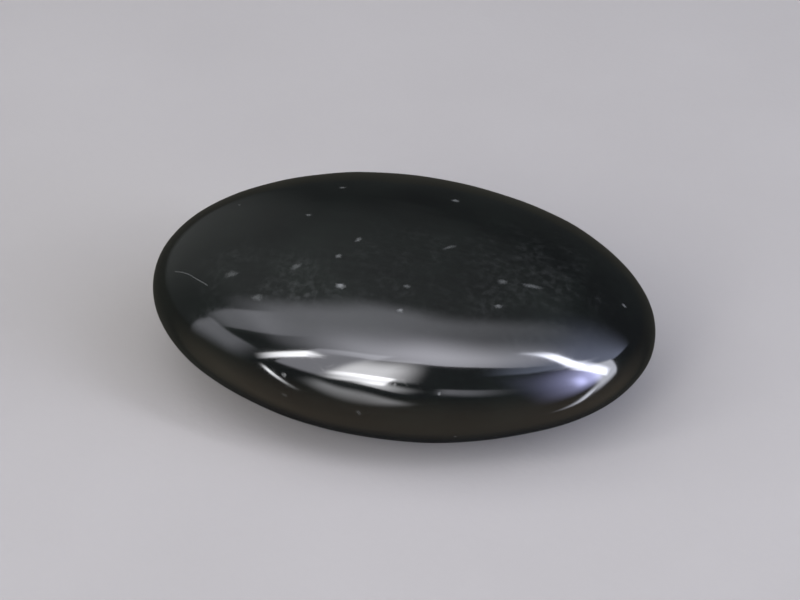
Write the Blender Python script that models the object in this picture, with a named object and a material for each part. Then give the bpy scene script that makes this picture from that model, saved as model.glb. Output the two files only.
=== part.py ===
"""Black tourmaline palm stone.

One solid: an oval pebble, domed on both faces and ground by hand, with a small flat on the
underside for it to rest on. Metres, +Z up. The origin is the bottom centre of the stone's box,
+X runs along the long axis and -Y is the front.
"""

import math

import bmesh
import bpy
from mathutils import Vector

# Driving dimensions.
LENGTH = 0.0700
WIDTH = 0.0505
THICKNESS = 0.0255
FOOT_DEPTH = 0.00025

# Roundness of the outline in plan and of the section: 2 is an ellipse, more is squarer.
PLAN_POWER = 1.96
SECTION_POWER = 2.10

# How much narrower the +X half is than the -X half, as a share of the width.
END_TAPER = 0.028

# Broad passes of the grinding wheel, each leaving a low swell (+) or a shallow hollow (-).
# Compass angle from +X, height angle, depth at its middle and how far it spreads.
GRINDING_PASSES = {
    "back_right_shoulder": {"compass": 50.0, "height": 40.0, "depth": -0.00018, "spread": 26.0},
    "front_left_cheek": {"compass": 215.0, "height": 25.0, "depth": 0.00015, "spread": 28.0},
    "crown_rear_left": {"compass": 120.0, "height": 62.0, "depth": -0.00010, "spread": 22.0},
    "front_right_belly": {"compass": 300.0, "height": -30.0, "depth": -0.00012, "spread": 25.0},
    "underside_left": {"compass": 170.0, "height": -50.0, "depth": 0.00012, "spread": 30.0},
}

# Facets along each side of the cube that is rounded out to make the stone.
FACETS_PER_SIDE = 20

SCHORL_COLOUR = (0.013, 0.0135, 0.0135, 1.0)
SCHORL_ROUGHNESS = 0.08
SCHORL_IOR = 1.64


def clear_scene():
    """Remove every object in the open file."""
    for item in list(bpy.data.objects):
        bpy.data.objects.remove(item, do_unlink=True)


def polished_schorl():
    """Make the glossy black material of polished schorl."""
    material = bpy.data.materials.new("polished_schorl")
    material.use_nodes = True
    shader = material.node_tree.nodes["Principled BSDF"]
    shader.inputs["Base Color"].default_value = SCHORL_COLOUR
    shader.inputs["Roughness"].default_value = SCHORL_ROUGHNESS
    shader.inputs["IOR"].default_value = SCHORL_IOR
    shader.inputs["Metallic"].default_value = 0.0
    return material


def compass_direction(compass, height):
    """Unit vector at a compass angle from +X and a height angle, both in degrees."""
    around = math.radians(compass)
    up = math.radians(height)
    return Vector((math.cos(up) * math.cos(around), math.cos(up) * math.sin(around), math.sin(up)))


def grinding_offset(direction):
    """Height of the grinding swells over the plain oval, along one direction."""
    offset = 0.0
    for swell in GRINDING_PASSES.values():
        middle = compass_direction(swell["compass"], swell["height"])
        spread = math.radians(swell["spread"])
        offset += swell["depth"] * math.exp((direction.dot(middle) - 1.0) / spread**2)
    return offset


def surface_point(direction):
    """Point of the uncut stone's surface that lies in a unit direction of the rounded cube."""
    x, y, z = direction
    plan = (abs(x) ** PLAN_POWER + abs(y) ** PLAN_POWER) ** (1.0 / PLAN_POWER)
    reach = (plan**SECTION_POWER + abs(z) ** SECTION_POWER) ** (-1.0 / SECTION_POWER)
    taper = 1.0 - END_TAPER * x
    point = Vector((x * LENGTH, y * WIDTH * taper, z * THICKNESS)) * (0.5 * reach)
    return point + point.normalized() * grinding_offset(direction)


def rounded_cube(bm):
    """Make an even grid of faces over a unit sphere, from a subdivided cube."""
    bmesh.ops.create_cube(bm, size=2.0)
    bmesh.ops.subdivide_edges(bm, edges=bm.edges[:], cuts=FACETS_PER_SIDE - 1, use_grid_fill=True)
    for vert in bm.verts:
        warped = Vector([math.tan(side * math.pi / 4.0) for side in vert.co])
        vert.co = warped.normalized()


def grind_foot(bm):
    """Cut the lowest part of the underside off flat and close the cut with one face."""
    lowest = min(vert.co.z for vert in bm.verts)
    cut = bmesh.ops.bisect_plane(
        bm,
        geom=bm.verts[:] + bm.edges[:] + bm.faces[:],
        plane_co=(0.0, 0.0, lowest + FOOT_DEPTH),
        plane_no=(0.0, 0.0, -1.0),
        clear_outer=True,
    )
    rim = [item for item in cut["geom_cut"] if isinstance(item, bmesh.types.BMEdge)]
    bmesh.ops.contextual_create(bm, geom=rim)
    bmesh.ops.recalc_face_normals(bm, faces=bm.faces[:])


def set_on_origin(bm):
    """Move the stone so that the bottom centre of its box is the origin."""
    lows = [min(vert.co[axis] for vert in bm.verts) for axis in range(3)]
    highs = [max(vert.co[axis] for vert in bm.verts) for axis in range(3)]
    middle = [(low + high) / 2.0 for low, high in zip(lows, highs)]
    bmesh.ops.translate(bm, verts=bm.verts[:], vec=(-middle[0], -middle[1], -lows[2]))


def palm_stone():
    """Build the stone as one closed mesh, shade it smooth and dress it."""
    bm = bmesh.new()
    rounded_cube(bm)
    for vert in bm.verts:
        vert.co = surface_point(vert.co)
    grind_foot(bm)
    set_on_origin(bm)
    mesh = bpy.data.meshes.new("palm_stone")
    bm.to_mesh(mesh)
    bm.free()
    mesh.shade_smooth()
    mesh.materials.append(polished_schorl())
    stone = bpy.data.objects.new("palm_stone", mesh)
    bpy.context.scene.collection.objects.link(stone)
    return stone


clear_scene()
palm_stone()
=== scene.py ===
"""Polished black tourmaline palm stone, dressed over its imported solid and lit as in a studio.

The stone is schorl, black tourmaline, ground by hand to an oval and polished to a gloss. All
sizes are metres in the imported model's frame: +X along the stone, -Y to its front, +Z up.
"""

import logging
import math
from dataclasses import dataclass, field
from enum import Enum
from typing import Any

import bmesh
import bpy
import numpy as np
from mathutils import Matrix, Vector


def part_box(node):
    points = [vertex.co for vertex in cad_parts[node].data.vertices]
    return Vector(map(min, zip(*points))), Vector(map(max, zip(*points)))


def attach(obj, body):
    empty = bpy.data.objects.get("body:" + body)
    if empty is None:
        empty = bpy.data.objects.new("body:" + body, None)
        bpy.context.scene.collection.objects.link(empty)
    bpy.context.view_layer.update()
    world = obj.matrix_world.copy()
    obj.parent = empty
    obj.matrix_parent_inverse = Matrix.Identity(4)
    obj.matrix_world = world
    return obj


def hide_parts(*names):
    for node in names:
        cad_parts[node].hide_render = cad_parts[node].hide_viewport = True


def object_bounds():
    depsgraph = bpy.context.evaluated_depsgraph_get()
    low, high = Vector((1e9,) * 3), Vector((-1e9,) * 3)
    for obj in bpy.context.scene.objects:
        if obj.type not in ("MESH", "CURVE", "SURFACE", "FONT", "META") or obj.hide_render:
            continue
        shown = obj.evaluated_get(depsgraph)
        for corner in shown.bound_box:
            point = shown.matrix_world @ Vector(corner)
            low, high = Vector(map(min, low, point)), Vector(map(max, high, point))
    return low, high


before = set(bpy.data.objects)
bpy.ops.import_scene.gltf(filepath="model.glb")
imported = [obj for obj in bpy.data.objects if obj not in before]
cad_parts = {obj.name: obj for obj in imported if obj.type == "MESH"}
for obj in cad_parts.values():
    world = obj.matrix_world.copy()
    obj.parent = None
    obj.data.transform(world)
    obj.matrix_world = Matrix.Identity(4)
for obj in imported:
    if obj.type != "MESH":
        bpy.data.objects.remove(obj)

CAD_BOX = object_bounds()

MM = 0.001
NODE = "palm_stone"
BODY = "root"

# Point attributes that the stone's mesh hands to its material.
FLAW = "flaw"
POWDER = "powder"
DULL = "dull"

# Sockets of Blender's Mix node when it mixes colours.
MIX_FACTOR, MIX_A, MIX_B, MIX_RESULT = 0, 6, 7, 2

log = logging.getLogger("palm_stone")

Colour = tuple[float, float, float, float]
Place = tuple[float, float, float]
Span = tuple[float, float]
Socket = bpy.types.NodeSocket
Tree = bpy.types.NodeTree


def srgb(hex_colour: str) -> Colour:
    """Turn an sRGB hex value into a linear colour.

    Args:
        hex_colour: A value such as "#1c1e1d".

    Returns:
        Red, green, blue and alpha, linear, alpha 1.
    """
    channels = [int(hex_colour[i : i + 2], 16) / 255 for i in (1, 3, 5)]
    red, green, blue = (
        c / 12.92 if c <= 0.04045 else ((c + 0.055) / 1.055) ** 2.4 for c in channels
    )
    return red, green, blue, 1.0


def add_node(tree: Tree, kind: str, inputs: dict[Any, Any] | None = None, **settings: Any) -> Any:
    """Add one node with its settings, its values and its links.

    Args:
        tree: The node tree that gets the node.
        kind: Blender's name for the node type.
        inputs: Input names or numbers, each with a value or with the output socket that feeds it.
        **settings: Properties of the node, set before its inputs.

    Returns:
        The new node's outputs.
    """
    node = tree.nodes.new(kind)
    for name, value in settings.items():
        setattr(node, name, value)
    for name, value in (inputs or {}).items():
        if isinstance(value, Socket):
            tree.links.new(value, node.inputs[name])
        else:
            node.inputs[name].default_value = value
    return node.outputs


def new_material(name: str) -> tuple[bpy.types.Material, Tree, bpy.types.Node, Socket]:
    """Start a material.

    Args:
        name: The material's name.

    Returns:
        The material, its node tree, its shader, and the place on the piece in millimetres.
    """
    material = bpy.data.materials.new(name)
    material.use_nodes = True
    tree = material.node_tree
    place = add_node(tree, "ShaderNodeTexCoord")["Object"]
    scaled = {"Vector": place, "Scale": (1.0 / MM,) * 3}
    in_mm = add_node(tree, "ShaderNodeMapping", scaled)[0]
    return material, tree, tree.nodes["Principled BSDF"], in_mm


def smooth_step(low: float, high: float, values: np.ndarray) -> np.ndarray:
    """Ease from 0 at low to 1 at high."""
    share = np.clip((values - low) / (high - low), 0.0, 1.0)
    return share * share * (3.0 - 2.0 * share)


def unit(vectors: np.ndarray) -> np.ndarray:
    """Scale each row to length 1."""
    return vectors / np.linalg.norm(vectors, axis=-1, keepdims=True)


def soften(route: np.ndarray, rounds: int = 2, cut: float = 0.25) -> np.ndarray:
    """Cut the corners of a route, so that it bends gently.

    Args:
        route: Places along it, one a row.
        rounds: How many times the corners are cut.
        cut: The share of each stretch that is cut off at either end.

    Returns:
        More places, with the same ends.
    """
    for _ in range(rounds):
        starts, ends = route[:-1], route[1:]
        runs = cut * (ends - starts)
        corners = np.stack([starts + runs, ends - runs], axis=1)
        route = np.vstack([route[:1], corners.reshape(-1, 2), route[-1:]])
    return route


# ---------------------------------------------------------------------------------------------
# The stone's shape
# ---------------------------------------------------------------------------------------------


@dataclass(frozen=True)
class WheelPass:
    """One broad pass of the grinding wheel, a low swell (+) or a shallow hollow (-).

    Its middle lies at a compass angle from +X and a height angle, and its spread is an angle too,
    all in degrees.
    """

    compass: float
    height: float
    depth: float
    spread: float

    def offsets(self, directions: np.ndarray) -> np.ndarray:
        """Height that this pass adds along each unit direction.

        Args:
            directions: Unit directions of the rounded cube, one a row.

        Returns:
            Heights in metres.
        """
        around, up = math.radians(self.compass), math.radians(self.height)
        middle = (math.cos(up) * math.cos(around), math.cos(up) * math.sin(around), math.sin(up))
        closeness = directions @ np.array(middle) - 1.0
        return self.depth * np.exp(closeness / math.radians(self.spread) ** 2)


@dataclass(frozen=True)
class OvalForm:
    """The whole stone before its foot is cut: a slightly tapered oval, domed on both faces."""

    length: float
    width: float
    thickness: float
    plan_power: float = 1.96
    section_power: float = 2.10
    end_taper: float = 0.028
    passes: tuple[WheelPass, ...] = (
        WheelPass(compass=50.0, height=40.0, depth=-0.18 * MM, spread=26.0),
        WheelPass(compass=215.0, height=25.0, depth=0.15 * MM, spread=28.0),
        WheelPass(compass=120.0, height=62.0, depth=-0.10 * MM, spread=22.0),
        WheelPass(compass=300.0, height=-30.0, depth=-0.12 * MM, spread=25.0),
        WheelPass(compass=170.0, height=-50.0, depth=0.12 * MM, spread=30.0),
    )

    def points(self, directions: np.ndarray) -> np.ndarray:
        """Find the surface point of each direction.

        Args:
            directions: Unit directions of the rounded cube, one a row.

        Returns:
            Points in metres, about the middle of the stone.
        """
        x, y, z = directions.T
        power = self.plan_power
        plan = (np.abs(x) ** power + np.abs(y) ** power) ** (1.0 / power)
        section = plan**self.section_power + np.abs(z) ** self.section_power
        reach = 0.5 * section ** (-1.0 / self.section_power)
        taper = 1.0 - self.end_taper * x
        sides = np.stack([x * self.length, y * self.width * taper, z * self.thickness], axis=1)
        points = sides * reach[:, None]
        swell = sum(wheel.offsets(directions) for wheel in self.passes)
        return points + unit(points) * swell[:, None]

    def normals(self, points: np.ndarray) -> np.ndarray:
        """Outward direction at each point, near enough to set a flaw or a wave by."""
        return unit(points / np.array([self.length, self.width, self.thickness]) ** 2)

    def direction_over(self, x: float, y: float, side: int = 1) -> np.ndarray:
        """Find the unit direction whose surface point lies over a place in plan.

        Args:
            x: Distance from the middle along the stone.
            y: Distance from the middle across the stone.
            side: 1 for the upper face, -1 for the underside.

        Returns:
            The unit direction.
        """
        along = 2.0 * x / self.length
        across = 2.0 * y / (self.width * (1.0 - self.end_taper * along))
        power = self.plan_power
        plan = (abs(along) ** power + abs(across) ** power) ** (1.0 / power)
        up = side * (1.0 - plan**self.section_power) ** (1.0 / self.section_power)
        return unit(np.array([along, across, up]))


@dataclass(frozen=True)
class PolishWaves:
    """Faint unevenness that polishing by hand leaves, a sum of low waves that run every way."""

    height: float
    shortest: float
    longest: float
    seed: int
    count: int = 28

    def offsets(self, points: np.ndarray) -> np.ndarray:
        """Height of the waves at each point.

        Args:
            points: Places on the stone, one a row.

        Returns:
            Heights in metres.
        """
        rng = np.random.default_rng(self.seed)
        headings = unit(rng.normal(size=(self.count, 3)))
        lengths = rng.uniform(self.shortest, self.longest, self.count)
        phases = rng.uniform(0.0, 2.0 * math.pi, self.count)
        waves = np.cos(points @ (headings * (2.0 * math.pi / lengths)[:, None]).T + phases)
        return self.height * waves.sum(axis=1) * math.sqrt(2.0 / self.count)


# ---------------------------------------------------------------------------------------------
# Small blemishes in the polish
# ---------------------------------------------------------------------------------------------


@dataclass(frozen=True)
class Blemish:
    """A small flaw, sunken by its depth and left pale by polishing powder."""

    depth: float
    paleness: float

    def spread(self, points: np.ndarray) -> np.ndarray:
        """Share of the way from the flaw's middle, 0, to its rim, 1, and over 1 outside."""
        raise NotImplementedError

    def gap(self, points: np.ndarray) -> np.ndarray:
        """Distance in metres outside the flaw's rim, 0 or less inside it."""
        raise NotImplementedError


@dataclass(frozen=True)
class Pit(Blemish):
    """An oval pit, or at depth 0 a pale grain that is flush with the polish."""

    place: np.ndarray
    outward: np.ndarray
    length: float
    width: float
    turn: float

    def spread(self, points: np.ndarray) -> np.ndarray:
        """Share of the way to the rim, which is a little uneven.

        Args:
            points: Places on the stone, one a row.

        Returns:
            The shares.
        """
        lengthwise = unit(np.cross(self.outward, np.cross([1.0, 0.0, 0.0], self.outward)))
        crosswise = np.cross(self.outward, lengthwise)
        cos, sin = math.cos(math.radians(self.turn)), math.sin(math.radians(self.turn))
        offset = points - self.place
        u = offset @ (cos * lengthwise + sin * crosswise) / (self.length / 2)
        v = offset @ (cos * crosswise - sin * lengthwise) / (self.width / 2)
        w = offset @ self.outward / self.length
        angle = np.arctan2(v, u)
        # Three low bulges and five lower ones keep the rim from being a true oval.
        uneven = 1.0 + 0.07 * np.sin(3.0 * angle + self.turn) + 0.05 * np.sin(5.0 * angle)
        return np.sqrt(u * u + v * v + w * w) / uneven

    def gap(self, points: np.ndarray) -> np.ndarray:
        """Distance outside the pit's rim."""
        return (self.spread(points) - 1.0) * self.width / 2


@dataclass(frozen=True)
class Hairline(Blemish):
    """A healed crack, a thin bent line across the surface."""

    path: np.ndarray
    width: float

    def reach(self, points: np.ndarray) -> np.ndarray:
        """Distance of each point from the line.

        Args:
            points: Places on the stone, one a row.

        Returns:
            Distances in metres.
        """
        nearest = np.full(len(points), np.inf)
        for start, end in zip(self.path[:-1], self.path[1:]):
            run = end - start
            share = np.clip((points - start) @ run / (run @ run), 0.0, 1.0)
            gap = np.linalg.norm(points - start - share[:, None] * run, axis=1)
            nearest = np.minimum(nearest, gap)
        return nearest

    def spread(self, points: np.ndarray) -> np.ndarray:
        """Share of the way from the crack's middle to its edge."""
        return self.reach(points) / (self.width / 2)

    def gap(self, points: np.ndarray) -> np.ndarray:
        """Distance outside the crack's edge."""
        return self.reach(points) - self.width / 2


@dataclass(frozen=True)
class DullPatch:
    """A patch that the polish didn't quite finish, about a place given in mm from the middle."""

    centre_mm: Place
    reach_mm: float
    strength: float
    # Share of the reach over which it is evenly dull.
    core: float = 0.35

    def amount(self, points: np.ndarray) -> np.ndarray:
        """How dull each point is.

        Args:
            points: Places on the stone, one a row.

        Returns:
            The strength near the centre, easing to 0 at the reach.
        """
        away = np.linalg.norm(points / MM - np.array(self.centre_mm), axis=1)
        return self.strength * (1.0 - smooth_step(self.core * self.reach_mm, self.reach_mm, away))


# ---------------------------------------------------------------------------------------------
# Finishes
# ---------------------------------------------------------------------------------------------


@dataclass(frozen=True)
class PolishedSchorl:
    """Schorl, black tourmaline, ground and polished with fine powder to a wet-looking gloss.

    The eye gets sharp, faintly uneven mirror images on deep black, with a few dull grey specks.
    """

    # Schorl is opaque black in the hand; strong light finds a faint green-grey in it.
    black: str = "#080909"
    green_black: str = "#0f1210"
    # Polishing powder left in pits and along cracks shows as dull grey specks.
    powder: str = "#8d8f8c"
    # Tourmaline's mean refractive index is 1.64, so it mirrors 6% of what it faces.
    refraction: float = 1.64
    polish_roughness: float = 0.08
    dull_roughness: float = 0.2
    powder_roughness: float = 0.5
    # Sizes from here on are millimetres.
    cloud_size: float = 13.0
    # Where a pattern's values pass from none of its mark to all of it.
    cloud_range: Span = (0.55, 0.95)
    flaw_grain: float = 0.25
    flaw_raggedness: float = 0.6
    flaw_range: Span = (0.5, 1.1)
    # Where the polish stopped short, pin-holes of the grinding stay, about 0.9 mm apart.
    pinhole_gap: float = 0.9
    pinhole_range: Span = (0.42, 0.80)
    pinhole_powder: float = 0.05
    rub_size: float = 4.2
    rub_range: Span = (0.35, 0.65)
    # Schorl grows as bundles of needles; their real 0.1 mm is drawn 0.4 mm wide so that it shows.
    needle_width: float = 0.4
    needle_length: float = 9.0
    needle_share: float = 0.5
    needle_relief: float = 0.0004
    # The polishing cloth leaves a fine orange-peel of dimples about 1.5 mm apart.
    dimple_size: float = 1.5
    dimple_relief: float = 0.0012
    # Grit that strayed into the polish leaves scratches; their real 0.02 mm is drawn 0.06 mm wide.
    scratch_width: float = 0.06
    scratch_length: float = 16.0
    scratch_gap: float = 2.5
    scratch_patches: float = 1.4
    scratch_range: Span = (0.60, 0.66)
    scratch_turns: tuple[float, ...] = (168.0, 113.0, 39.0)
    scratch_relief: float = 0.0001
    scratch_roughness: float = 0.08

    def make(self) -> bpy.types.Material:
        """Build the material.

        Returns:
            The material, for a mesh with the point attributes "flaw", "powder" and "dull".
        """
        material, tree, shader, in_mm = new_material("schorl_polished")
        shader.inputs["IOR"].default_value = self.refraction
        flaws = self.flaws(tree, in_mm)
        pinholes = self.pinholes(tree, in_mm)
        needles = self.needles(tree, in_mm)
        scratches = self.scratches(tree, in_mm)
        colour = self.colour(tree, in_mm, needles, pinholes, flaws)
        roughness = self.roughness(tree, pinholes, scratches, flaws)
        relief = self.relief(tree, in_mm, needles, scratches)
        tree.links.new(colour, shader.inputs["Base Color"])
        tree.links.new(roughness, shader.inputs["Roughness"])
        tree.links.new(relief, shader.inputs["Normal"])
        return material

    def flaws(self, tree: Tree, in_mm: Socket) -> Socket:
        """Pits and cracks of the mesh, with their rims made ragged.

        Args:
            tree: The material's node tree.
            in_mm: Place on the stone in millimetres.

        Returns:
            How grey with powder the place is, 0 to 1.
        """
        closeness = add_node(tree, "ShaderNodeAttribute", attribute_name=FLAW)["Fac"]
        powder = add_node(tree, "ShaderNodeAttribute", attribute_name=POWDER)["Fac"]
        grain = {"Vector": in_mm, "Scale": 1.0 / self.flaw_grain}
        noise = add_node(tree, "ShaderNodeTexNoise", grain)[0]
        rim = {0: noise, 1: self.flaw_raggedness, 2: closeness}
        ragged = add_node(tree, "ShaderNodeMath", rim, operation="MULTIPLY_ADD")[0]
        low, high = self.flaw_range
        edge = {"Value": ragged, "From Min": low, "From Max": high}
        inside = add_node(tree, "ShaderNodeMapRange", edge)[0]
        return add_node(tree, "ShaderNodeMath", {0: inside, 1: powder}, operation="MULTIPLY")[0]

    def pinholes(self, tree: Tree, in_mm: Socket) -> Socket:
        """Pin-holes and rubs in the patches that the polish didn't finish.

        Args:
            tree: The material's node tree.
            in_mm: Place on the stone in millimetres.

        Returns:
            How unpolished the place is, 0 to 1.
        """
        total = add_node(tree, "ShaderNodeAttribute", attribute_name=DULL)["Fac"]
        marks = ((self.pinhole_gap, self.pinhole_range), (self.rub_size, self.rub_range))
        for size, (low, high) in marks:
            grain = {"Vector": in_mm, "Scale": 1.0 / size, "Detail": 2.0}
            noise = add_node(tree, "ShaderNodeTexNoise", grain)[0]
            sparse = {"Value": noise, "From Min": low, "From Max": high}
            spots = add_node(tree, "ShaderNodeMapRange", sparse)[0]
            total = add_node(tree, "ShaderNodeMath", {0: total, 1: spots}, operation="MULTIPLY")[0]
        return total

    def needles(self, tree: Tree, in_mm: Socket) -> Socket:
        """Streaks of the crystal's needles, which run along the stone.

        Args:
            tree: The material's node tree.
            in_mm: Place on the stone in millimetres.

        Returns:
            A value about 0.5 that varies from needle to needle.
        """
        sizes = {0: in_mm, 1: (self.needle_length, self.needle_width, self.needle_width)}
        drawn_out = add_node(tree, "ShaderNodeVectorMath", sizes, operation="DIVIDE")[0]
        bundles = {"Vector": drawn_out, "Scale": 1.0, "Detail": 3.0}
        return add_node(tree, "ShaderNodeTexNoise", bundles)[0]

    def scratches(self, tree: Tree, in_mm: Socket) -> Socket:
        """Sparse hair-thin scratches in a few directions.

        Args:
            tree: The material's node tree.
            in_mm: Place on the stone in millimetres.

        Returns:
            A value that is 1 in a scratch and 0 between them.
        """
        total: Socket | float = 0.0
        low, high = self.scratch_range
        for turn in self.scratch_turns:
            # A mapping of the texture kind turns space first and then draws it out.
            layout = {
                "Vector": in_mm,
                "Location": (turn, 0.0, 0.0),
                "Rotation": (0.0, 0.0, math.radians(turn)),
                "Scale": (self.scratch_length, self.scratch_gap, self.scratch_gap),
            }
            drawn_out = add_node(tree, "ShaderNodeMapping", layout, vector_type="TEXTURE")[0]
            # Where drawn-out noise passes its mean it makes long lines, which are cut into runs.
            plain = {"Vector": drawn_out, "Scale": 1.0, "Detail": 0.0}
            noise = add_node(tree, "ShaderNodeTexNoise", plain)[0]
            away = add_node(tree, "ShaderNodeMath", {0: noise, 1: 0.5}, operation="SUBTRACT")[0]
            away = add_node(tree, "ShaderNodeMath", {0: away}, operation="ABSOLUTE")[0]
            thin = {"From Max": self.scratch_width / self.scratch_gap, "To Min": 1.0, "To Max": 0.0}
            line = add_node(tree, "ShaderNodeMapRange", {"Value": away, **thin})[0]
            broad = {"Vector": drawn_out, "Scale": self.scratch_patches}
            patches = add_node(tree, "ShaderNodeTexNoise", broad)[0]
            sparse = {"Value": patches, "From Min": low, "From Max": high}
            run = add_node(tree, "ShaderNodeMapRange", sparse)[0]
            scratch = add_node(tree, "ShaderNodeMath", {0: line, 1: run}, operation="MULTIPLY")[0]
            total = add_node(tree, "ShaderNodeMath", {0: total, 1: scratch}, operation="MAXIMUM")[0]
        return total

    def colour(
        self, tree: Tree, in_mm: Socket, needles: Socket, pinholes: Socket, flaws: Socket
    ) -> Socket:
        """Black with soft green-grey clouds, streaked along the needles, grey where powder stayed.

        Args:
            tree: The material's node tree.
            in_mm: Place on the stone in millimetres.
            needles: The needles' streaks.
            pinholes: How unpolished the place is.
            flaws: How grey with powder the place is.

        Returns:
            The base colour.
        """
        lumps = {"Vector": in_mm, "Scale": 1.0 / self.cloud_size, "Detail": 4.0}
        clouds = add_node(tree, "ShaderNodeTexNoise", lumps)[0]
        both = {0: needles, 1: self.needle_share, 2: clouds}
        streaked = add_node(tree, "ShaderNodeMath", both, operation="MULTIPLY_ADD")[0]
        low, high = self.cloud_range
        spread = {"Value": streaked, "From Min": low, "From Max": high}
        shade = add_node(tree, "ShaderNodeMapRange", spread)[0]
        tones = {MIX_FACTOR: shade, MIX_A: srgb(self.black), MIX_B: srgb(self.green_black)}
        body = add_node(tree, "ShaderNodeMix", tones, data_type="RGBA")[MIX_RESULT]
        holes = {0: pinholes, 1: self.pinhole_powder, 2: flaws}
        dust = add_node(tree, "ShaderNodeMath", holes, operation="MULTIPLY_ADD")[0]
        dusted = {MIX_FACTOR: dust, MIX_A: body, MIX_B: srgb(self.powder)}
        return add_node(tree, "ShaderNodeMix", dusted, data_type="RGBA")[MIX_RESULT]

    def roughness(self, tree: Tree, pinholes: Socket, scratches: Socket, flaws: Socket) -> Socket:
        """Near-mirror polish, duller in pin-holes, in scratches and where powder stayed.

        Args:
            tree: The material's node tree.
            pinholes: How unpolished the place is.
            scratches: 1 in a scratch.
            flaws: How grey with powder the place is.

        Returns:
            The roughness.
        """
        total: Socket | float = self.polish_roughness
        for marks, added in (
            (pinholes, self.dull_roughness),
            (scratches, self.scratch_roughness),
            (flaws, self.powder_roughness),
        ):
            duller = {0: marks, 1: added, 2: total}
            total = add_node(tree, "ShaderNodeMath", duller, operation="MULTIPLY_ADD")[0]
        return total

    def relief(self, tree: Tree, in_mm: Socket, needles: Socket, scratches: Socket) -> Socket:
        """Dimples, needles and scratches too shallow to model.

        Args:
            tree: The material's node tree.
            in_mm: Place on the stone in millimetres.
            needles: The needles' streaks.
            scratches: 1 in a scratch.

        Returns:
            The bumped normal.
        """
        peel = {"Vector": in_mm, "Scale": 1.0 / self.dimple_size, "Detail": 1.0}
        dimples = add_node(tree, "ShaderNodeTexNoise", peel)[0]
        bump = {"Height": dimples, "Distance": self.dimple_relief * MM}
        normal = add_node(tree, "ShaderNodeBump", bump)[0]
        for height, relief, sunken in (
            (needles, self.needle_relief, False),
            (scratches, self.scratch_relief, True),
        ):
            bump = {"Height": height, "Distance": relief * MM, "Normal": normal}
            normal = add_node(tree, "ShaderNodeBump", bump, invert=sunken)[0]
        return normal


@dataclass(frozen=True)
class MattBoard:
    """Pale card with a matt emulsion rolled on, which takes soft shadows and mirrors nothing."""

    pale: str = "#928f8b"
    paler: str = "#9a9793"
    roughness: float = 0.85
    # Rolled emulsion clouds over about 40 mm and has a grain of about 1 mm. Sizes are millimetres.
    cloud_size: float = 40.0
    grain_size: float = 1.0
    grain_relief: float = 0.02

    def make(self) -> bpy.types.Material:
        """Build the material.

        Returns:
            The board's material.
        """
        material, tree, shader, in_mm = new_material("card_matt_emulsion")
        shader.inputs["Roughness"].default_value = self.roughness
        lumps = {"Vector": in_mm, "Scale": 1.0 / self.cloud_size, "Detail": 5.0}
        clouds = add_node(tree, "ShaderNodeTexNoise", lumps)[0]
        tones = {MIX_FACTOR: clouds, MIX_A: srgb(self.pale), MIX_B: srgb(self.paler)}
        tone = add_node(tree, "ShaderNodeMix", tones, data_type="RGBA")[MIX_RESULT]
        fine = {"Vector": in_mm, "Scale": 1.0 / self.grain_size}
        grain = add_node(tree, "ShaderNodeTexNoise", fine)[0]
        bump = {"Height": grain, "Distance": self.grain_relief * MM}
        relief = add_node(tree, "ShaderNodeBump", bump)[0]
        tree.links.new(tone, shader.inputs["Base Color"])
        tree.links.new(relief, shader.inputs["Normal"])
        return material


@dataclass(frozen=True)
class PaintedShadowWalnut:
    """Painted shadow: oiled walnut coloured nearly black close to the stone, standing for the
    stone's own shadow.

    Only the polish mirrors it. It is solid inside the first share of the stone's outline and has
    faded out at the second.
    """

    brown: str = "#1a1815"
    roughness: float = 0.9
    shares: Span = (0.7, 1.25)

    def make(self, outline: Span) -> bpy.types.Material:
        """Build the material.

        Args:
            outline: The stone's half length and half width in metres.

        Returns:
            The material, see-through towards the shadow's edge.
        """
        material, tree, shader, in_mm = new_material("walnut_painted_shadow")
        # Painted shadow: this near-black brown stands for the stone's own shadow on the bench, not
        # for the wood's colour.
        shader.inputs["Base Color"].default_value = srgb(self.brown)
        shader.inputs["Roughness"].default_value = self.roughness
        halves = {0: in_mm, 1: (outline[0] / MM, outline[1] / MM, 1.0)}
        share = add_node(tree, "ShaderNodeVectorMath", halves, operation="DIVIDE")[0]
        away = add_node(tree, "ShaderNodeVectorMath", {0: share}, operation="LENGTH")["Value"]
        fade = {"Value": away, "From Min": self.shares[1], "From Max": self.shares[0]}
        cover = add_node(tree, "ShaderNodeMapRange", fade, interpolation_type="SMOOTHSTEP")[0]
        tree.links.new(cover, shader.inputs["Alpha"])
        return material


# ---------------------------------------------------------------------------------------------
# The stone
# ---------------------------------------------------------------------------------------------


@dataclass(frozen=True)
class Grain:
    """What a pit or pale grain is like, and where it lies in plan, in mm and degrees."""

    length: float
    width: float
    depth: float
    paleness: float
    turn: float = 10.0
    x: float = 0.0
    y: float = 0.0


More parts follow.
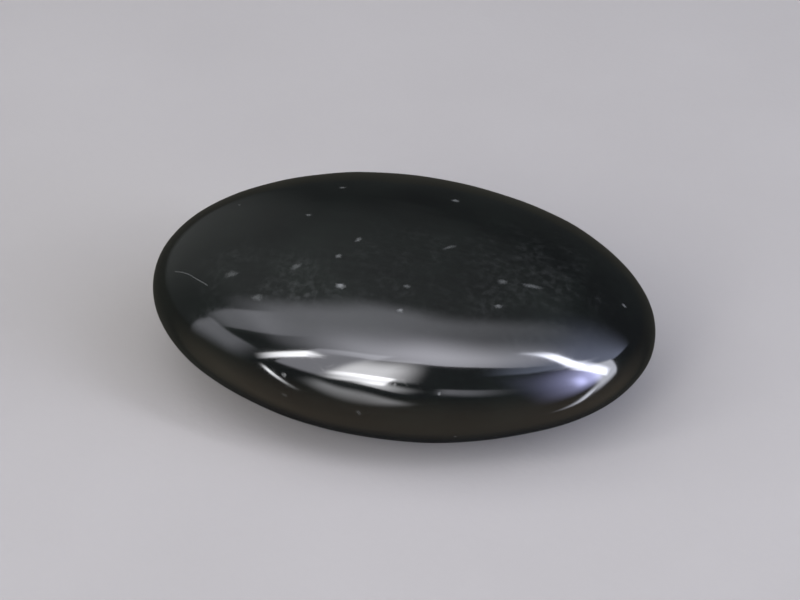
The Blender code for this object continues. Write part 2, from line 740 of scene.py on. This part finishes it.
# Pits and pale grains of the upper face, each in its own place.
UPPER_GRAINS = (
    Grain(x=-4.7, y=-9.6, length=0.75, width=0.65, depth=0.03, paleness=0.22),
    Grain(x=-2.5, y=-14.4, length=1.15, width=0.70, depth=0.05, paleness=0.30, turn=-8.0),
    Grain(x=16.6, y=-6.7, length=1.00, width=0.75, depth=0.03, paleness=0.15, turn=20.0),
    Grain(x=20.2, y=-5.6, length=2.10, width=0.60, depth=0.03, paleness=0.15, turn=14.0),
    Grain(x=4.9, y=8.8, length=0.90, width=0.80, depth=0.02, paleness=0.36, turn=30.0),
    Grain(x=-11.2, y=7.5, length=0.80, width=0.60, depth=0.02, paleness=0.28, turn=0.0),
    Grain(x=-9.5, y=-12.3, length=1.30, width=0.80, depth=0.0, paleness=0.14, turn=40.0),
    Grain(x=-3.4, y=-5.9, length=0.95, width=0.60, depth=0.02, paleness=0.20, turn=75.0),
    Grain(x=8.3, y=-3.4, length=1.60, width=0.50, depth=0.02, paleness=0.12, turn=48.0),
    Grain(x=5.7, y=-12.3, length=0.80, width=0.50, depth=0.02, paleness=0.15, turn=5.0),
    Grain(x=6.2, y=-16.0, length=0.70, width=0.50, depth=0.03, paleness=0.25),
    Grain(x=17.4, y=-10.8, length=0.85, width=0.50, depth=0.02, paleness=0.20, turn=25.0),
    Grain(x=-18.0, y=-13.9, length=1.60, width=0.90, depth=0.0, paleness=0.12, turn=15.0),
    Grain(x=-12.8, y=-17.3, length=1.40, width=0.80, depth=0.0, paleness=0.12, turn=5.0),
)

# Healed cracks: the face that each lies in, 1 above and -1 below, and its places in plan in mm.
CRACK_ROUTES = (
    (1, ((-27.6, -11.5), (-25.0, -12.7), (-23.2, -13.9), (-20.9, -15.2))),
    (1, ((-14.0, 16.0), (-10.6, 17.1), (-8.2, 18.9))),
    (-1, ((9.0, -14.0), (10.1, -9.6), (9.4, -6.0), (10.8, -2.2))),
    (-1, ((-22.0, 6.5), (-19.5, 10.2), (-18.7, 13.0))),
)


@dataclass
class PalmStone:
    """The polished stone: its fine surface, its flaws and its finish."""

    low: Vector
    high: Vector
    facets: int = 88
    foot_depth: float = 0.25 * MM
    # Rounds of halving the mesh round each flaw, and how far past its rim each round reaches.
    fine_rounds: tuple[float, ...] = (0.9 * MM, 0.5 * MM, 0.3 * MM)
    # In a flaw's own radii: its flat bottom, and how far the greyness round it fades out.
    flaw_bottom: float = 0.25
    flaw_reach: float = 1.8
    crack_width: float = 0.16 * MM
    crack_depth: float = 0.012 * MM
    crack_paleness: float = 0.16
    # Stray pits, in mm and degrees; their slimness is their width's share of their length.
    stray_count: int = 34
    stray_seed: int = 7
    stray_length: Span = (0.35, 0.9)
    stray_slimness: Span = (0.5, 0.9)
    stray_depth: Span = (0.01, 0.04)
    stray_paleness: Span = (0.05, 0.3)
    stray_turn: float = 25.0
    waves: tuple[PolishWaves, ...] = (
        PolishWaves(height=0.055 * MM, shortest=14.0 * MM, longest=26.0 * MM, seed=11),
        PolishWaves(height=0.010 * MM, shortest=5.0 * MM, longest=11.0 * MM, seed=5),
    )
    dull_patches: tuple[DullPatch, ...] = (
        DullPatch(centre_mm=(19.0, -4.0, 10.5), reach_mm=15.0, strength=0.75),
        DullPatch(centre_mm=(5.0, -10.0, 11.5), reach_mm=13.0, strength=0.6),
        DullPatch(centre_mm=(-8.0, -15.5, 9.5), reach_mm=9.0, strength=1.0),
        DullPatch(centre_mm=(-18.0, -14.5, 8.0), reach_mm=9.0, strength=0.6),
        DullPatch(centre_mm=(-6.0, 21.0, 3.0), reach_mm=10.0, strength=0.6),
        DullPatch(centre_mm=(0.0, 0.0, -12.6), reach_mm=12.0, strength=1.0),
    )
    finish: PolishedSchorl = PolishedSchorl()
    form: OvalForm = field(init=False)
    flaws: list[Blemish] = field(init=False)

    def __post_init__(self) -> None:
        """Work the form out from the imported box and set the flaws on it."""
        size = self.high - self.low
        self.form = OvalForm(length=size.x, width=size.y, thickness=size.z + self.foot_depth)
        self.flaws = [*self.upper_pits(), *self.stray_pits(), *self.cracks()]

    def pit_at(self, direction: np.ndarray, grain: Grain) -> Pit:
        """Set a pit on the surface.

        Args:
            direction: Unit direction of the rounded cube at the pit.
            grain: What the pit is like; its place in plan isn't used.

        Returns:
            The pit.
        """
        place = self.form.points(direction[None])
        return Pit(
            depth=grain.depth * MM,
            paleness=grain.paleness,
            place=place[0],
            outward=self.form.normals(place)[0],
            length=grain.length * MM,
            width=grain.width * MM,
            turn=grain.turn,
        )

    def upper_pits(self) -> list[Blemish]:
        """Pits and pale grains of the upper face."""
        return [self.pit_at(self.form.direction_over(g.x * MM, g.y * MM), g) for g in UPPER_GRAINS]

    def stray_pits(self) -> list[Blemish]:
        """Small pits scattered over the whole stone.

        Returns:
            The pits.
        """
        rng = np.random.default_rng(self.stray_seed)
        pits = []
        for direction in unit(rng.normal(size=(self.stray_count, 3))):
            length = rng.uniform(*self.stray_length)
            grain = Grain(
                length=length,
                width=length * rng.uniform(*self.stray_slimness),
                depth=rng.uniform(*self.stray_depth),
                paleness=rng.uniform(*self.stray_paleness),
                turn=rng.normal(0.0, self.stray_turn),
            )
            pits.append(self.pit_at(direction, grain))
        return pits

    def cracks(self) -> list[Blemish]:
        """Healed hairline cracks along their routes.

        Returns:
            The cracks.
        """
        cracks = []
        for side, route in CRACK_ROUTES:
            bends = soften(np.array(route)) * MM
            directions = np.stack([self.form.direction_over(x, y, side) for x, y in bends])
            path = self.form.points(directions)
            cracks.append(Hairline(self.crack_depth, self.crack_paleness, path, self.crack_width))
        return cracks

    def sphere_grid(self) -> bmesh.types.BMesh:
        """Make an even grid over a unit sphere, finer round every flaw.

        Returns:
            The grid, its vertices at unit directions.
        """
        grid = bmesh.new()
        bmesh.ops.create_cube(grid, size=2.0)
        cuts = self.facets - 1
        bmesh.ops.subdivide_edges(grid, edges=grid.edges[:], cuts=cuts, use_grid_fill=True)
        for vert in grid.verts:
            # The tangent spaces the grid's lines evenly over the sphere.
            vert.co = Vector([math.tan(side * math.pi / 4.0) for side in vert.co]).normalized()
        for reach in self.fine_rounds:
            points = self.form.points(self.directions(grid))
            nearest = np.min([flaw.gap(points) for flaw in self.flaws], axis=0)
            for vert, close in zip(grid.verts, nearest < reach):
                vert.tag = bool(close)
            edges = [edge for edge in grid.edges if edge.verts[0].tag and edge.verts[1].tag]
            bmesh.ops.subdivide_edges(grid, edges=edges, cuts=1, use_grid_fill=True)
            for vert in grid.verts:
                vert.co.normalize()
        bmesh.ops.triangulate(grid, faces=[face for face in grid.faces if len(face.verts) > 4])
        return grid

    @staticmethod
    def directions(grid: bmesh.types.BMesh) -> np.ndarray:
        """Unit directions of the grid's vertices, one a row."""
        return unit(np.array([vert.co[:] for vert in grid.verts]))

    def surface(self, points: np.ndarray) -> np.ndarray:
        """Give the plain form its polish waves, its flaws and its foot, and fit it to its box.

        Args:
            points: Places on the plain form, one a row.

        Returns:
            Points in metres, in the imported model's frame.
        """
        lift = sum(wave.offsets(points) for wave in self.waves)
        for flaw in self.flaws:
            lift -= flaw.depth * (1.0 - smooth_step(self.flaw_bottom, 1.0, flaw.spread(points)))
        moved = points + self.form.normals(points) * lift[:, None]
        moved[:, 2] = np.maximum(moved[:, 2], moved[:, 2].min() + self.foot_depth)
        low, high = moved.min(axis=0), moved.max(axis=0)
        return np.array(self.low) + (moved - low) / (high - low) * np.array(self.high - self.low)

    def marks(self, points: np.ndarray) -> dict[str, np.ndarray]:
        """Work out what the material needs to know of each point.

        Args:
            points: Places on the plain form, one a row.

        Returns:
            By attribute: closeness to a flaw, 1 in its middle and 0 well outside it; how grey that
            flaw is; and how dull the polish is.
        """
        closeness, grey = np.zeros(len(points)), np.zeros(len(points))
        for flaw in self.flaws:
            close = np.clip(1.0 - flaw.spread(points) / self.flaw_reach, 0.0, 1.0)
            grey = np.where(close > closeness, flaw.paleness, grey)
            closeness = np.maximum(closeness, close)
        dull = np.max([patch.amount(points) for patch in self.dull_patches], axis=0)
        return {FLAW: closeness, POWDER: grey, DULL: dull}

    def build(self) -> bpy.types.Object:
        """Model the stone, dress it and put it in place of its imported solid.

        Returns:
            The stone.
        """
        grid = self.sphere_grid()
        points = self.form.points(self.directions(grid))
        mesh = bpy.data.meshes.new("polished_stone")
        grid.to_mesh(mesh)
        grid.free()
        mesh.vertices.foreach_set("co", self.surface(points).astype(np.float32).ravel())
        for name, values in self.marks(points).items():
            attribute = mesh.attributes.new(name, "FLOAT", "POINT")
            attribute.data.foreach_set("value", values.astype(np.float32))
        mesh.shade_smooth()
        mesh.update()
        mesh.materials.append(self.finish.make())
        stone = bpy.data.objects.new("polished_stone", mesh)
        bpy.context.scene.collection.objects.link(stone)
        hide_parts(NODE)
        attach(stone, BODY)
        return stone


# ---------------------------------------------------------------------------------------------
# The studio
# ---------------------------------------------------------------------------------------------


@dataclass(frozen=True)
class Rig:
    """Where the camera stands, and the directions that the lights are set by.

    Places in the rig are right of the stone, away from the camera and up, in metres.
    """

    target: Vector
    azimuth: float = 21.2
    elevation: float = 33.5
    distance: float = 251.8 * MM
    roll: float = -0.75
    lens: float = 83.5
    near_clip: float = 10.0 * MM

    def place(self, right: float, away: float, up: float) -> Vector:
        """Turn a place in the rig into one in the frame.

        Args:
            right: Distance to the right of the stone.
            away: Distance past the stone, away from the camera.
            up: Distance above the stone's middle.

        Returns:
            The place in the frame.
        """
        bearing = Matrix.Rotation(math.radians(self.azimuth), 3, "Z")
        return self.target + bearing @ Vector((right, away, up))

    def camera(self) -> bpy.types.Object:
        """Set up the camera and make it the scene's own.

        Returns:
            The camera.
        """
        data = bpy.data.cameras.new("camera")
        data.lens = self.lens
        data.clip_start = self.near_clip
        camera = bpy.data.objects.new("camera", data)
        height = math.radians(self.elevation)
        back, up = self.distance * math.cos(height), self.distance * math.sin(height)
        camera.location = self.place(0.0, -back, up)
        look = (self.target - camera.location).to_track_quat("-Z", "Y").to_matrix()
        camera.rotation_euler = (look @ Matrix.Rotation(math.radians(self.roll), 3, "Z")).to_euler()
        bpy.context.scene.collection.objects.link(camera)
        bpy.context.scene.camera = camera
        return camera


class Facing(Enum):
    """Which way a softbox faces: how far it is tipped up from facing down, then swung round.

    Both are angles in degrees, and forward is away from the camera.
    """

    DOWN = (0.0, 0.0)
    FORWARD = (90.0, 0.0)
    RIGHTWARD = (90.0, -90.0)


class Tint(Enum):
    """Colours of the light that lamps, silk and window glass let through."""

    NEUTRAL = "#fbfbff"
    COOL = "#f4f4ff"
    SKY = "#eceffd"
    HAZE = "#c8d2f4"
    VIOLET = "#c8cbff"


@dataclass(frozen=True)
class Softbox:
    """A flat soft light that fades towards its edges.

    It hangs in a plane at some reach from the stone, and its spans are shares of that reach, so it
    looks the same from the stone at any reach. They run left to right across the rig, or far to
    near for one that faces right, and then bottom to top, or near to far for one that faces down.
    Each fade is the share of a span over which the light comes up, at the starts and ends of the
    two spans.
    """

    name: str
    facing: Facing
    across: Span
    along: Span
    radiance: float
    tint: Tint
    fades: tuple[float, float, float, float]
    turn: float = 0.0

    def hang(self, rig: Rig, reach: float) -> bpy.types.Object:
        """Make the light and hang it in the rig.

        Args:
            rig: The rig that gives directions.
            reach: How far the light's plane is from the stone.

        Returns:
            The light.
        """
        data = bpy.data.lights.new(self.name, "AREA")
        data.shape = "RECTANGLE"
        data.size = (self.across[1] - self.across[0]) * reach
        data.size_y = (self.along[1] - self.along[0]) * reach
        # An even emitter's power is its radiance times pi times its area.
        data.energy = self.radiance * math.pi * data.size * data.size_y
        data.color = srgb(self.tint.value)[:3]
        self.fade(data)
        middle = Vector((sum(self.across) / 2, sum(self.along) / 2, 1.0)) * reach
        tip, swing = (math.radians(angle) for angle in self.facing.value)
        light = bpy.data.objects.new(self.name, data)
        light.matrix_world = (
            Matrix.Translation(rig.target)
            @ Matrix.Rotation(math.radians(rig.azimuth) + swing, 4, "Z")
            @ Matrix.Rotation(tip, 4, "X")
            @ Matrix.Translation(middle)
            @ Matrix.Rotation(math.radians(self.turn), 4, "Z")
        )
        light.visible_camera = False
        bpy.context.scene.collection.objects.link(light)
        return light

    def fade(self, data: bpy.types.AreaLight) -> None:
        """Fade the light towards its four sides.

        Args:
            data: The light's data.
        """
        data.use_nodes = True
        tree = data.node_tree
        face = add_node(tree, "ShaderNodeNewGeometry")["Parametric"]
        u, v, _ = add_node(tree, "ShaderNodeSeparateXYZ", {0: face})
        start, end, low, high = self.fades
        strength: Socket | float = 1.0
        sides = ((u, 0.0, start), (u, 1.0, 1.0 - end), (v, 0.0, low), (v, 1.0, 1.0 - high))
        for place, edge, full in sides:
            if edge != full:
                ramp = {"Value": place, "From Min": edge, "From Max": full}
                ease = "SMOOTHSTEP"
                rise = add_node(tree, "ShaderNodeMapRange", ramp, interpolation_type=ease)[0]
                both = {0: strength, 1: rise}
                strength = add_node(tree, "ShaderNodeMath", both, operation="MULTIPLY")[0]
        tree.links.new(strength, tree.nodes["Emission"].inputs["Strength"])


# Silk panels overhead, with the main bank of lamps over the middle one.
OVERHEAD = (
    Softbox("left_silk", Facing.DOWN, (-3.0, -0.5), (-0.15, 0.25), 1.5, Tint.COOL,
            fades=(0.7, 0.2, 0.0, 0.0), turn=-5.0),
    Softbox("front_silk", Facing.DOWN, (-1.4, 1.15), (-0.85, 0.3), 1.7, Tint.COOL,
            fades=(0.4, 0.7, 0.3, 0.2), turn=-10.0),
    Softbox("main_bank", Facing.DOWN, (-0.85, 1.25), (-0.8, -0.1), 5.0, Tint.COOL,
            fades=(0.4, 0.6, 0.0, 0.7), turn=-10.0),
    Softbox("right_silk", Facing.DOWN, (0.2, 4.75), (-1.2, 0.65), 2.6, Tint.HAZE,
            fades=(0.2, 0.0, 0.1, 0.7), turn=5.0),
)

# A pane in the left wall.
SIDE = (
    Softbox("side_pane", Facing.RIGHTWARD, (-0.1, 0.4), (-0.2, 0.45), 1.5, Tint.COOL,
            fades=(0.1, 0.4, 0.7, 0.1), turn=0.0),
)

# Window panes behind the camera.
WINDOWS = (
    Softbox("far_left_pane", Facing.FORWARD, (-2.85, -1.0), (0.75, 1.3), 17.0, Tint.NEUTRAL,
            fades=(0.7, 0.1, 0.1, 0.2), turn=40.0),
    Softbox("mid_left_pane", Facing.FORWARD, (-1.55, -0.65), (0.4, 2.0), 2.6, Tint.COOL,
            fades=(0.0, 0.1, 0.1, 0.1), turn=-10.0),
    Softbox("left_pane", Facing.FORWARD, (-0.8, -0.15), (0.45, 1.65), 10.0, Tint.NEUTRAL,
            fades=(0.2, 0.5, 0.1, 0.7), turn=-5.0),
    Softbox("left_low_pane", Facing.FORWARD, (-0.9, -0.4), (0.3, 0.65), 15.0, Tint.NEUTRAL,
            fades=(0.8, 0.0, 0.3, 0.0), turn=-10.0),
    Softbox("left_sill", Facing.FORWARD, (-0.6, -0.15), (0.15, 0.4), 8.0, Tint.NEUTRAL,
            fades=(0.2, 0.8, 0.1, 0.6), turn=-35.0),
    Softbox("middle_sill", Facing.FORWARD, (-0.15, 0.6), (0.0, 0.3), 1.7, Tint.COOL,
            fades=(0.2, 0.8, 0.6, 0.2), turn=-10.0),
    Softbox("right_strip", Facing.FORWARD, (1.2, 1.65), (0.75, 2.6), 22.0, Tint.SKY,
            fades=(0.1, 0.0, 0.1, 0.5), turn=5.0),
    Softbox("right_pane", Facing.FORWARD, (1.25, 3.3), (-0.05, 0.95), 16.0, Tint.SKY,
            fades=(0.1, 0.3, 0.1, 0.6), turn=-40.0),
    Softbox("right_glow", Facing.FORWARD, (0.45, 2.25), (-0.75, 1.0), 12.0, Tint.VIOLET,
            fades=(0.7, 0.2, 0.4, 0.5), turn=15.0),
    Softbox("right_glow_heart", Facing.FORWARD, (1.0, 1.5), (-0.4, 0.4), 9.0, Tint.VIOLET,
            fades=(0.5, 0.5, 0.5, 0.5), turn=15.0),
    # The panes' own images in the bench's gloss, which lie lower than the floor.
    Softbox("left_bench_glow", Facing.FORWARD, (-1.2, -0.2), (-0.4, 0.15), 2.9, Tint.NEUTRAL,
            fades=(0.4, 0.2, 0.8, 0.3), turn=-40.0),
    Softbox("left_bench_streak", Facing.FORWARD, (-2.3, -1.0), (-0.35, -0.15), 15.0, Tint.NEUTRAL,
            fades=(0.4, 0.7, 0.3, 0.0), turn=-35.0),
    Softbox("right_bench_streak", Facing.FORWARD, (1.3, 1.85), (-2.1, -0.45), 8.0, Tint.SKY,
            fades=(0.5, 0.1, 0.6, 0.4), turn=-25.0),
    Softbox("right_bench_glow", Facing.FORWARD, (1.6, 4.6), (-1.6, 1.05), 7.0, Tint.SKY,
            fades=(0.2, 0.0, 0.4, 0.1), turn=5.0),
)


@dataclass(frozen=True)
class Wash:
    """A dim tone washed over the surroundings, the stronger the further one looks its way.

    The way is given right, away from the camera and up. Its product with the direction looked in
    is the first of the ends where the wash starts, and the second where it covers all.
    """

    tone: str
    way: Place
    ends: Span

    def lay(self, tree: Tree, outlook: Socket, rig: Rig, ground: Any) -> Socket:
        """Lay the wash over what is there.

        Args:
            tree: The world's node tree.
            outlook: The direction looked in.
            rig: The rig that gives directions.
            ground: The colour there, or the socket that gives it.

        Returns:
            The colour with the wash over it.
        """
        axis = rig.place(*self.way) - rig.target
        product = {0: outlook, 1: axis}
        slope = add_node(tree, "ShaderNodeVectorMath", product, operation="DOT_PRODUCT")["Value"]
        ramp = {"Value": slope, "From Min": self.ends[0], "From Max": self.ends[1]}
        share = add_node(tree, "ShaderNodeMapRange", ramp)[0]
        tones = {MIX_FACTOR: share, MIX_A: ground, MIX_B: srgb(self.tone)}
        return add_node(tree, "ShaderNodeMix", tones, data_type="RGBA")[MIX_RESULT]


@dataclass
class Studio:
    """Floor, room light, softboxes and camera."""

    rig: Rig
    floor_radius: float = 6.0
    oval_sides: int = 96
    floor_gap: float = 0.02 * MM
    shadow_gap: float = 0.01 * MM
    reach: float = 0.9
    # Each light hangs a little nearer than the last, so that no two share a plane.
    stagger: float = 0.01
    backdrop: str = "#393b3b"
    # Light comes in from the left and above, with a pale patch low at the far left. It is dark
    # again in the left wall's corner and behind the camera.
    room: tuple[Wash, ...] = (
        Wash(tone="#afb2b1", way=(-0.45, 0.1, 0.8), ends=(0.35, 1.35)),
        Wash(tone="#7e807f", way=(-0.55, 0.8, 0.2), ends=(0.88, 1.0)),
        Wash(tone="#575959", way=(-0.95, 0.0, 0.3), ends=(0.75, 0.95)),
        Wash(tone="#414243", way=(0.0, -1.0, 0.0), ends=(0.05, 0.15)),
    )
    # A dark bench under the floor, browner where it is looked down on, except away from the camera.
    bench_shade: str = "#41403b"
    bench: tuple[Wash, ...] = (
        Wash(tone="#8c8071", way=(0.0, 0.0, -1.0), ends=(0.0, 0.6)),
        Wash(tone="#41403b", way=(0.0, 1.0, 0.0), ends=(0.0, 0.4)),
    )
    horizon_blur: float = 0.04
    board: MattBoard = MattBoard()
    # The painted shadow under the stone, which the polish mirrors.
    shade: PaintedShadowWalnut = PaintedShadowWalnut()

    def lay(self, name: str, halves: Span, drop: float) -> bpy.types.Object:
        """Lay a flat oval, which is not part of the object.

        Args:
            name: The oval's name.
            halves: Its half length and half width in metres.
            drop: How far it lies under the stone's foot.

        Returns:
            The oval, with no material yet.
        """
        oval = bmesh.new()
        bmesh.ops.create_circle(oval, cap_ends=True, radius=1.0, segments=self.oval_sides)
        bmesh.ops.scale(oval, verts=oval.verts[:], vec=(*halves, 1.0))
        bmesh.ops.translate(oval, verts=oval.verts[:], vec=(0.0, 0.0, -drop))
        mesh = bpy.data.meshes.new(name)
        oval.to_mesh(mesh)
        oval.free()
        piece = bpy.data.objects.new(name, mesh)
        bpy.context.scene.collection.objects.link(piece)
        return piece

    def floor(self) -> bpy.types.Object:
        """Lay the pale floor.

        Returns:
            The floor.
        """
        floor = self.lay("floor", (self.floor_radius,) * 2, self.floor_gap)
        floor.data.materials.append(self.board.make())
        # The polish mirrors the dark bench under the floor, so that the stone is black to its foot.
        floor.visible_glossy = False
        return floor

    def shadow(self) -> bpy.types.Object:
        """Lay a painted shadow of the stone on the bench, which shows in the polish and nowhere
        else.

        Returns:
            The shadow.
        """
        outline = (CAD_BOX[1][0], CAD_BOX[1][1])
        rim = self.shade.shares[1]
        shadow = self.lay("shadow", (outline[0] * rim, outline[1] * rim), self.shadow_gap)
        # Its material paints the shadow: darkest under the stone and see-through past its outline.
        shadow.data.materials.append(self.shade.make(outline))
        shadow.visible_camera = False
        shadow.visible_diffuse = False
        shadow.visible_shadow = False
        return shadow

    def surroundings(self) -> bpy.types.World:
        """Fill the dim room over the dark bench.

        Returns:
            The world, which is also made the scene's own.
        """
        world = bpy.data.worlds.new("studio")
        world.use_nodes = True
        tree = world.node_tree
        outlook = add_node(tree, "ShaderNodeTexCoord")["Generated"]
        height = add_node(tree, "ShaderNodeSeparateXYZ", {0: outlook})["Z"]
        horizon = {"Value": height, "From Min": -self.horizon_blur, "From Max": self.horizon_blur}
        above = add_node(tree, "ShaderNodeMapRange", horizon)[0]
        bench: Any = srgb(self.bench_shade)
        for wash in self.bench:
            bench = wash.lay(tree, outlook, self.rig, bench)
        room: Any = srgb(self.backdrop)
        for wash in self.room:
            room = wash.lay(tree, outlook, self.rig, room)
        tones = {MIX_FACTOR: above, MIX_A: bench, MIX_B: room}
        tone = add_node(tree, "ShaderNodeMix", tones, data_type="RGBA")[MIX_RESULT]
        tree.links.new(tone, tree.nodes["Background"].inputs["Color"])
        bpy.context.scene.world = world
        return world

    def softboxes(self) -> list[bpy.types.Object]:
        """Hang the overhead panels and the windows.

        Returns:
            The lights.
        """
        return [
            box.hang(self.rig, self.reach - self.stagger * number)
            for boxes in (OVERHEAD, SIDE, WINDOWS)
            for number, box in enumerate(boxes)
        ]

    def build(self) -> None:
        """Set the whole studio up."""
        log.info("%s: radius %.1f m", self.floor().name, self.floor_radius)
        log.info("%s in the polish", self.shadow().name)
        log.info("room: %s", self.surroundings().name)
        log.info("softboxes: %d", len(self.softboxes()))
        log.info("%s: %.1f mm lens", self.rig.camera().name, self.rig.lens)
        bpy.context.scene.view_settings.view_transform = "Standard"


def main() -> None:
    """Build the stone and its studio."""
    logging.basicConfig(level=logging.INFO, format="%(name)s: %(message)s")
    low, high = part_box(NODE)
    stone = PalmStone(low=low, high=high).build()
    log.info("%s: %d faces", stone.name, len(stone.data.polygons))
    Studio(rig=Rig(target=(low + high) / 2)).build()


if __name__ == "__main__":
    main()
